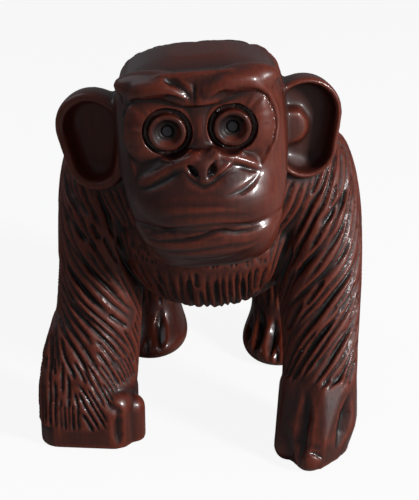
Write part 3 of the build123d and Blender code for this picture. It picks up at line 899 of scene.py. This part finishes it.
# the dish of the right ear lies in shade, and is cleared of most of its dark and painted lighter red as
# painted light; that of the left one darker
for ear_place in EAR_PLACES:
    gap, _ = ear_gap(seat, ear_place)
    dish = (1 - soft_step(*DISH_EDGE, gap)) * soft_step(*EAR_BACK, out)
    dish *= 1 - soft_step(*DISH_FRONT, out)
    if ear_place[0] < 0:
        shade -= RIGHT_DISH_CLEARED * dish * shade
        # painted light: the shaded dish is painted as if lit
        lift = np.maximum(lift, RIGHT_DISH_PAINTED_LIGHT * dish)
    else:
        shade = np.maximum(shade, LEFT_DISH_TONE * dish)
        lift = np.maximum(lift, LEFT_DISH_TONE * dish)
    matt = np.maximum(matt, DISH_MATT * dish)

# a dark tip of the nose with a painted highlight on its left wing, a lighter, redder and duller crown and a
# dull right cheek
nose_tip = np.exp(-(across**2 + (up - NOSE_TIP_UP) ** 2) / NOSE_TIP_SPREAD) * (out > NOSE_TIP_OUT)
shade = np.maximum(shade, NOSE_TIP_SHADE * nose_tip)
lift *= 1 - NOSE_TIP_CLEARED * nose_tip
wing_across = (across - WING_ACROSS) / WING_WIDTH
wing_up = (up - WING_UP) / WING_HEIGHT
left_wing_highlight = np.exp(-(wing_across**2 + wing_up**2) / 2) * (out > EYES_OUT)
# painted highlight on the left wing of the nose
lift = np.maximum(lift, WING_HIGHLIGHT * left_wing_highlight)
crown = soft_step(*CROWN_UP, up)
lift = np.maximum(lift, CROWN_TONE * smooth_wood * crown)
matt = np.maximum(matt, CROWN_TONE * crown)
right_cheek = 1 - soft_step(*RIGHT_CHEEK_ACROSS, across)
right_cheek *= soft_step(*RIGHT_CHEEK_FOOT, up) * (1 - soft_step(*RIGHT_CHEEK_TOP, up))
matt = np.maximum(matt, RIGHT_CHEEK_MATT * right_cheek)
shade += HAIR_SHADE * (1 - smooth_wood)

# the rings of the eyes, each round a dark dish with a painted glint of light on its lower left
for side in SIDES:
    gap = eye_gap(seat, side)
    dish = (1 - soft_step(*IRIS_DISH_EDGE, gap)) * (out > EYES_OUT)
    shade = np.maximum(shade, IRIS_DISH_SHADE * dish)
    ring = (gap > RING_SPAN[0]) & (gap < RING_SPAN[1]) & (out > EYES_OUT)
    shade = np.where(ring, np.clip(shade, *RING_SHADES), shade)
    lift *= 1 - RING_CLEARED * ring
    ridge = np.exp(-((gap - RIDGE_RADIUS) ** 2) / (2 * RIDGE_WIDTH**2)) * (out > EYES_OUT)
    lift = np.maximum(lift, RIDGE_WEAR * ridge)
    matt = np.maximum(matt, dish)
    lift *= 1 - dish
    lower_left = soft_step(*GLINT_LOW, GLINT_SLANT * (across - side * EYE_SPREAD) - up)
    glint = dish * soft_step(*GLINT_FROM, gap) * lower_left
    # painted glint of light in the lower left of each dish
    lift = np.maximum(lift, PAINTED_GLINT * glint)

# the front of the face is stained darker, all but the painted light of the left side
face_front = soft_step(*FACE_OUT, out) * (1 - painted_lit_side)
shade = np.maximum(shade, FACE_SHADE * smooth_wood * face_front)
smooth_wood *= 1 - matt

# the mesh is thinned, and each point left takes the finish of the nearest old one
tree = tree_of(points)
bpy.ops.object.select_all(action="DESELECT")
block.select_set(True)
bpy.context.view_layer.objects.active = block
thin = block.modifiers.new("thin", "DECIMATE")
thin.ratio = TRIANGLES / (2 * len(block.data.polygons))
bpy.ops.object.modifier_apply(modifier=thin.name)
bpy.ops.object.shade_smooth()

kept = [tree.find(point)[1] for point in read_points(block)]
for name, values in (("stain_and_shade", shade), ("worn_and_lit", lift), ("smoothed", smooth_wood)):
    layer = block.data.attributes.new(name, "FLOAT", "POINT")
    layer.data.foreach_set("value", values[kept].astype(np.float32))

# the stained wood reads its tone and gloss from the points, under a fine grain; the tone holds painted
# shade, painted light and painted highlights along with the stain and the wear
wood = bpy.data.materials.new("stained_wood")
wood.use_nodes = True
nodes = wood.node_tree.nodes
links = wood.node_tree.links
shader = nodes["Principled BSDF"]
held = nodes.new("ShaderNodeAttribute")
held.attribute_name = "stain_and_shade"
worn_and_lit_read = nodes.new("ShaderNodeAttribute")
worn_and_lit_read.attribute_name = "worn_and_lit"
place = nodes.new("ShaderNodeTexCoord")
grain_scale = nodes.new("ShaderNodeMapping")
grain_scale.inputs["Scale"].default_value = GRAIN_SCALE
links.new(place.outputs["Object"], grain_scale.inputs["Vector"])
grain = nodes.new("ShaderNodeTexNoise")
grain.inputs["Scale"].default_value = 1.0
grain.inputs["Detail"].default_value = 3.0
links.new(grain_scale.outputs["Vector"], grain.inputs["Vector"])
# the tone runs from red through brown to black, for the stain in the cuts and the painted shade of the
# broad hollows
tone = nodes.new("ShaderNodeValToRGB")
tone.color_ramp.elements[0].position = 0.05
tone.color_ramp.elements[0].color = STAIN_RED
tone.color_ramp.elements[1].position = 0.95
tone.color_ramp.elements[1].color = STAIN_AND_SHADE_BLACK
middle = tone.color_ramp.elements.new(0.5)
middle.color = STAIN_AND_SHADE_BROWN
links.new(held.outputs["Fac"], tone.inputs["Fac"])
# the red of rubbed edges, which also serves as the painted light, painted highlights and painted glints
worn_and_lit_share = nodes.new("ShaderNodeMath")
worn_and_lit_share.operation = "MULTIPLY"
worn_and_lit_share.inputs[1].default_value = WORN_AND_LIT_SHARE
links.new(worn_and_lit_read.outputs["Fac"], worn_and_lit_share.inputs[0])
worn_and_lit = nodes.new("ShaderNodeMix")
worn_and_lit.data_type = "RGBA"
worn_and_lit.inputs["B"].default_value = WORN_AND_LIT_RED
links.new(worn_and_lit_share.outputs[0], worn_and_lit.inputs["Factor"])
links.new(tone.outputs["Color"], worn_and_lit.inputs["A"])
grain_tone = nodes.new("ShaderNodeValToRGB")
grain_tone.color_ramp.elements[0].position = 0.3
grain_tone.color_ramp.elements[0].color = GRAIN_DARK
grain_tone.color_ramp.elements[1].position = 0.65
grain_tone.color_ramp.elements[1].color = GRAIN_LIGHT
links.new(grain.outputs["Fac"], grain_tone.inputs["Fac"])
grained = nodes.new("ShaderNodeMix")
grained.data_type = "RGBA"
grained.blend_type = "MULTIPLY"
grained.inputs["Factor"].default_value = GRAIN_SHARE
links.new(worn_and_lit.outputs["Result"], grained.inputs["A"])
links.new(grain_tone.outputs["Color"], grained.inputs["B"])
links.new(grained.outputs["Result"], shader.inputs["Base Color"])
pores = nodes.new("ShaderNodeBump")
pores.inputs["Strength"].default_value = PORE_STRENGTH
pores.inputs["Distance"].default_value = PORE_DEPTH
links.new(grain.outputs["Fac"], pores.inputs["Height"])
links.new(pores.outputs["Normal"], shader.inputs["Normal"])
sanded = nodes.new("ShaderNodeAttribute")
sanded.attribute_name = "smoothed"
gloss = nodes.new("ShaderNodeMapRange")
gloss.inputs["To Min"].default_value = HAIR_ROUGHNESS
gloss.inputs["To Max"].default_value = SMOOTH_ROUGHNESS
links.new(sanded.outputs["Fac"], gloss.inputs["Value"])
links.new(gloss.outputs["Result"], shader.inputs["Roughness"])
lacquer = nodes.new("ShaderNodeMapRange")
lacquer.inputs["To Min"].default_value = HAIR_LACQUER
lacquer.inputs["To Max"].default_value = SMOOTH_LACQUER
links.new(sanded.outputs["Fac"], lacquer.inputs["Value"])
links.new(lacquer.outputs["Result"], shader.inputs["Coat Weight"])
shader.inputs["Coat Roughness"].default_value = LACQUER_ROUGHNESS
shader.inputs["Specular IOR Level"].default_value = WOOD_SPECULAR
block.data.materials.clear()
block.data.materials.append(wood)
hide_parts("carved_figure")
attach(block, "root")

# The pupils
# Two round pegs of a dark blue-grey inlay, glued into blind holes in the eyes
# and rubbed level.

PUPIL_COLOUR = (0.012, 0.013, 0.016, 1)
PUPIL_ROUGHNESS = 0.3

pupil_finish = bpy.data.materials.new("pupil_inlay")
pupil_finish.use_nodes = True
shader = pupil_finish.node_tree.nodes["Principled BSDF"]
shader.inputs["Base Color"].default_value = PUPIL_COLOUR
shader.inputs["Roughness"].default_value = PUPIL_ROUGHNESS
for side_name in ("left", "right"):
    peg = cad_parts[f"{side_name}_pupil"]
    for material_slot in peg.material_slots:
        material_slot.material = pupil_finish

# The studio
# A white floor that keeps the figure's soft shadow, a plain white room, a
# small window lamp at the right and a broad weak one high at the left.

FLOOR_SIZE = 6.0
FLOOR_WHITE = (0.9, 0.9, 0.9, 1)
FLOOR_BOUNCE = (0.3, 0.28, 0.27, 1)
FLOOR_ROUGHNESS = 0.9
FLOOR_GLOW_SHARE = 0.9
SKY_COLOUR = (0.95, 0.95, 1.0, 1)
SKY_STRENGTH = 0.17
WINDOW_PLACE = (0.8, -0.42, 0.42)
WINDOW_AIM = (0, 0, 0.09)
WINDOW_SIZE = 0.16
WINDOW_POWER = 10.2
VEIL_PLACE = (-0.6, 0.1, 0.7)
VEIL_AIM = (0, 0, 0.1)
VEIL_SIZE = 0.6
VEIL_POWER = 1.1
VEIL_COLOUR = (0.85, 0.93, 1.0)
AIM = Vector((0.9, 5.2, 58.0)) * MM
DISTANCE = 520 * MM
TURN = math.radians(4.0)
LIFT = math.radians(24.0)
FILM_HEIGHT = 36.0
LENS = 96.05

# the floor glows white for the camera, and is darker for light that bounces off it
bpy.ops.mesh.primitive_plane_add(size=FLOOR_SIZE, location=(0, 0, 0))
floor = bpy.context.object
floor.name = "floor"
floor_finish = bpy.data.materials.new("floor_white")
floor_finish.use_nodes = True
nodes = floor_finish.node_tree.nodes
links = floor_finish.node_tree.links
paint = nodes["Principled BSDF"]
shown = nodes.new("ShaderNodeMix")
shown.data_type = "RGBA"
shown.inputs["A"].default_value = FLOOR_BOUNCE
shown.inputs["B"].default_value = FLOOR_WHITE
links.new(shown.outputs["Result"], paint.inputs["Base Color"])
paint.inputs["Roughness"].default_value = FLOOR_ROUGHNESS
glow = nodes.new("ShaderNodeEmission")
glow.inputs["Strength"].default_value = 1.0
ray = nodes.new("ShaderNodeLightPath")
links.new(ray.outputs["Is Camera Ray"], shown.inputs["Factor"])
white = nodes.new("ShaderNodeMath")
white.operation = "MULTIPLY"
white.inputs[1].default_value = FLOOR_GLOW_SHARE
blend = nodes.new("ShaderNodeMixShader")
links.new(ray.outputs["Is Camera Ray"], white.inputs[0])
links.new(white.outputs[0], blend.inputs["Fac"])
links.new(paint.outputs["BSDF"], blend.inputs[1])
links.new(glow.outputs["Emission"], blend.inputs[2])
links.new(blend.outputs["Shader"], nodes["Material Output"].inputs["Surface"])
floor.data.materials.append(floor_finish)
floor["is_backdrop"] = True

# the room is plain white to the camera, and a dim sky to the figure
world = bpy.data.worlds.new("studio")
bpy.context.scene.world = world
world.use_nodes = True
nodes = world.node_tree.nodes
links = world.node_tree.links
sky = nodes["Background"]
sky.inputs["Color"].default_value = SKY_COLOUR
sky.inputs["Strength"].default_value = SKY_STRENGTH
plain_white = nodes.new("ShaderNodeBackground")
plain_white.inputs["Color"].default_value = (1, 1, 1, 1)
ray = nodes.new("ShaderNodeLightPath")
blend = nodes.new("ShaderNodeMixShader")
links.new(ray.outputs["Is Camera Ray"], blend.inputs["Fac"])
links.new(sky.outputs["Background"], blend.inputs[1])
links.new(plain_white.outputs["Background"], blend.inputs[2])
links.new(blend.outputs["Shader"], nodes["World Output"].inputs["Surface"])


def lamp(name, place, aim, size, power, colour=(1, 1, 1)):
    """A soft square lamp, turned to shine at a point."""
    light = bpy.data.lights.new(name, "AREA")
    light.size = size
    light.energy = power
    light.color = colour
    holder = bpy.data.objects.new(name, light)
    bpy.context.scene.collection.objects.link(holder)
    holder.location = place
    direction = Vector(aim) - Vector(place)
    holder.rotation_euler = direction.to_track_quat("-Z", "Y").to_euler()


lamp("window", WINDOW_PLACE, WINDOW_AIM, WINDOW_SIZE, WINDOW_POWER)
lamp("veil", VEIL_PLACE, VEIL_AIM, VEIL_SIZE, VEIL_POWER, VEIL_COLOUR)

# the camera stands where the photograph was taken from
camera_data = bpy.data.cameras.new("camera")
camera_data.sensor_fit = "VERTICAL"
camera_data.sensor_height = FILM_HEIGHT
camera_data.lens = LENS
camera_data.clip_start = 0.01
camera = bpy.data.objects.new("camera", camera_data)
bpy.context.scene.collection.objects.link(camera)
back = Vector((math.sin(TURN) * math.cos(LIFT), -math.cos(TURN) * math.cos(LIFT), math.sin(LIFT)))
camera.location = AIM + back * DISTANCE
camera.rotation_euler = (-back).to_track_quat("-Z", "Y").to_euler()
bpy.context.scene.camera = camera
bpy.context.scene.view_settings.view_transform = "Standard"

low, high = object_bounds()
